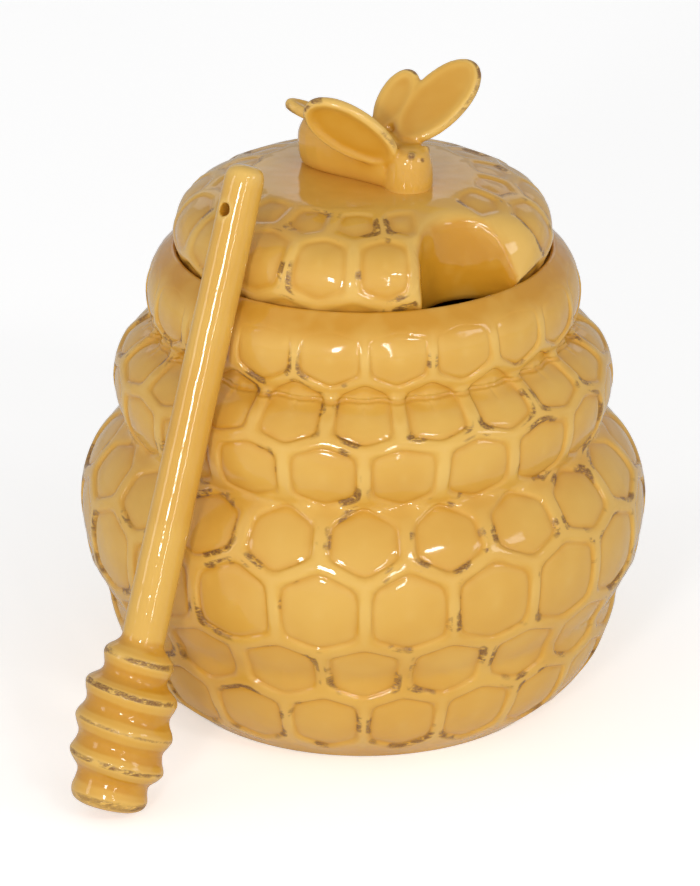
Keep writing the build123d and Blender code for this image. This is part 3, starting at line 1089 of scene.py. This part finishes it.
# Crests and grooves up the head as (height, radius) in mm, from the foot's edge to the neck.
HEAD_WAVE = (
    (2.6, 9.0),
    (6.7, 8.4),
    (10.8, 11.2),
    (14.9, 10.0),
    (19.0, 11.6),
    (23.1, 9.9),
    (27.2, 11.0),
    (31.3, 7.5),
    (35.1, 8.3),
    (39.2, 5.1),
)
WAVE_STEPS = 7
FOOT_EDGE = ((0.0, 5.6), (0.15, 6.6), (0.75, 7.9), (1.6, 8.6))
# The head's rings lean to one side, from nothing at the foot's edge to full at the first crest.
HEAD_LEAN = math.tan(math.radians(4.6))
HEAD_LEAN_FROM, HEAD_LEAN_FULL = 1.0, 8.0
# The lean ends at the neck's end, over the last few mm.
NECK_END = 43.0
NECK_FADE = 3.0
HANDLE_RINGS = (46.0, 60.0, 76.0, 92.0, 108.0, 124.0, 138.0, 146.6)
HANDLE_TOP_RADIUS = 4.6
HANDLE_DOME = ((147.9, 4.5), (149.2, 4.1), (150.1, 3.3), (150.6, 2.1))
HOLE_CENTRE = Vector((-28.679, -35.009, 132.945))
HOLE_AXIS = Vector((-0.679487, -0.641772, 0.355565))
HOLE_RADIUS = 1.55
HOLE_SIDES = 32
HOLE_LENGTH = 20.0
# Each ring is out of round by this share of a corner's wander.
RING_WANDER = 0.2
DIPPER_SMOOTHING = 5
DIPPER_CRESTS = (1.6, 0.12, 0.42, 0.14)


def head_rings():
    """The wave's crests and grooves with rounded steps between them."""
    for (low, low_radius), (high, high_radius) in zip(HEAD_WAVE, HEAD_WAVE[1:]):
        for step in range(WAVE_STEPS):
            share = step / WAVE_STEPS
            blend = (1 - math.cos(math.pi * share)) / 2
            yield low + (high - low) * share, low_radius + (high_radius - low_radius) * blend
    yield HEAD_WAVE[-1]


def make_dipper():
    neck, neck_radius = HEAD_WAVE[-1]
    slope = (HANDLE_TOP_RADIUS - neck_radius) / (HANDLE_RINGS[-1] - neck)
    rings = [*FOOT_EDGE, *head_rings()]
    rings += [(height, neck_radius + slope * (height - neck)) for height in HANDLE_RINGS]
    rings += HANDLE_DOME
    uneven = [(wander() * RING_WANDER, wander() * RING_WANDER) for _ in rings]

    def place(turn, number):
        height, radius = rings[number]
        wide, deep = uneven[number]
        sideways = HANDLE_OUT * math.cos(turn) * (radius + wide)
        sideways += HANDLE_SIDE * math.sin(turn) * (radius + deep)
        rise = (height - HEAD_LEAN_FROM) / (HEAD_LEAN_FULL - HEAD_LEAN_FROM)
        lean = HEAD_LEAN * max(0, min(1, rise, (NECK_END - height) / NECK_FADE))
        return DIPPER_FOOT + sideways + HANDLE_AXIS * (height - sideways.x * lean)

    dipper = make_tube("dipper_piece", DIPPER_SIDES, len(rings), place)
    deselect()
    bpy.ops.mesh.primitive_cylinder_add(
        vertices=HOLE_SIDES,
        radius=HOLE_RADIUS * MM,
        depth=HOLE_LENGTH * MM,
        location=HOLE_CENTRE * MM,
        rotation=HOLE_AXIS.to_track_quat("Z", "Y").to_euler(),
    )
    hole = bpy.context.object
    apply_modifier(dipper, "BOOLEAN", operation="DIFFERENCE", object=hole, solver="EXACT")
    bpy.data.objects.remove(hole)
    glaze_over(dipper, DIPPER_SMOOTHING)
    keep_crests(dipper, *DIPPER_CRESTS)
    clear_worn(dipper, lambda corner: (corner - DIPPER_FOOT).dot(HANDLE_AXIS) > NECK_END)
    finish_piece(dipper, glazes["dipper"], "dipper", "dipper")


set_camera()
set_stage()

# Each glaze as its name, how pale its edges are, how deep its pools, how rubbed it is, and the height
# of its crease in m.
NO_CREASE = -1.0
glaze_group = make_glaze_group()
glazes = {
    name: make_glaze(name + "_glaze", glaze_group, Paleness=pale, Depth=deep, Rubbed=rubbed, Crease=crease)
    for name, pale, deep, rubbed, crease in (
        ("pot", 0.6, 0.72, 0.80, POT_CREASE * MM),
        ("lid", 0.4, 0.85, 0.70, NO_CREASE),
        ("bee", 0.6, 0.95, 1.50, NO_CREASE),
        ("dipper", 0.5, 1.20, 1.55, NO_CREASE),
    )
}
make_pot()
make_lid()
make_bee()
make_dipper()
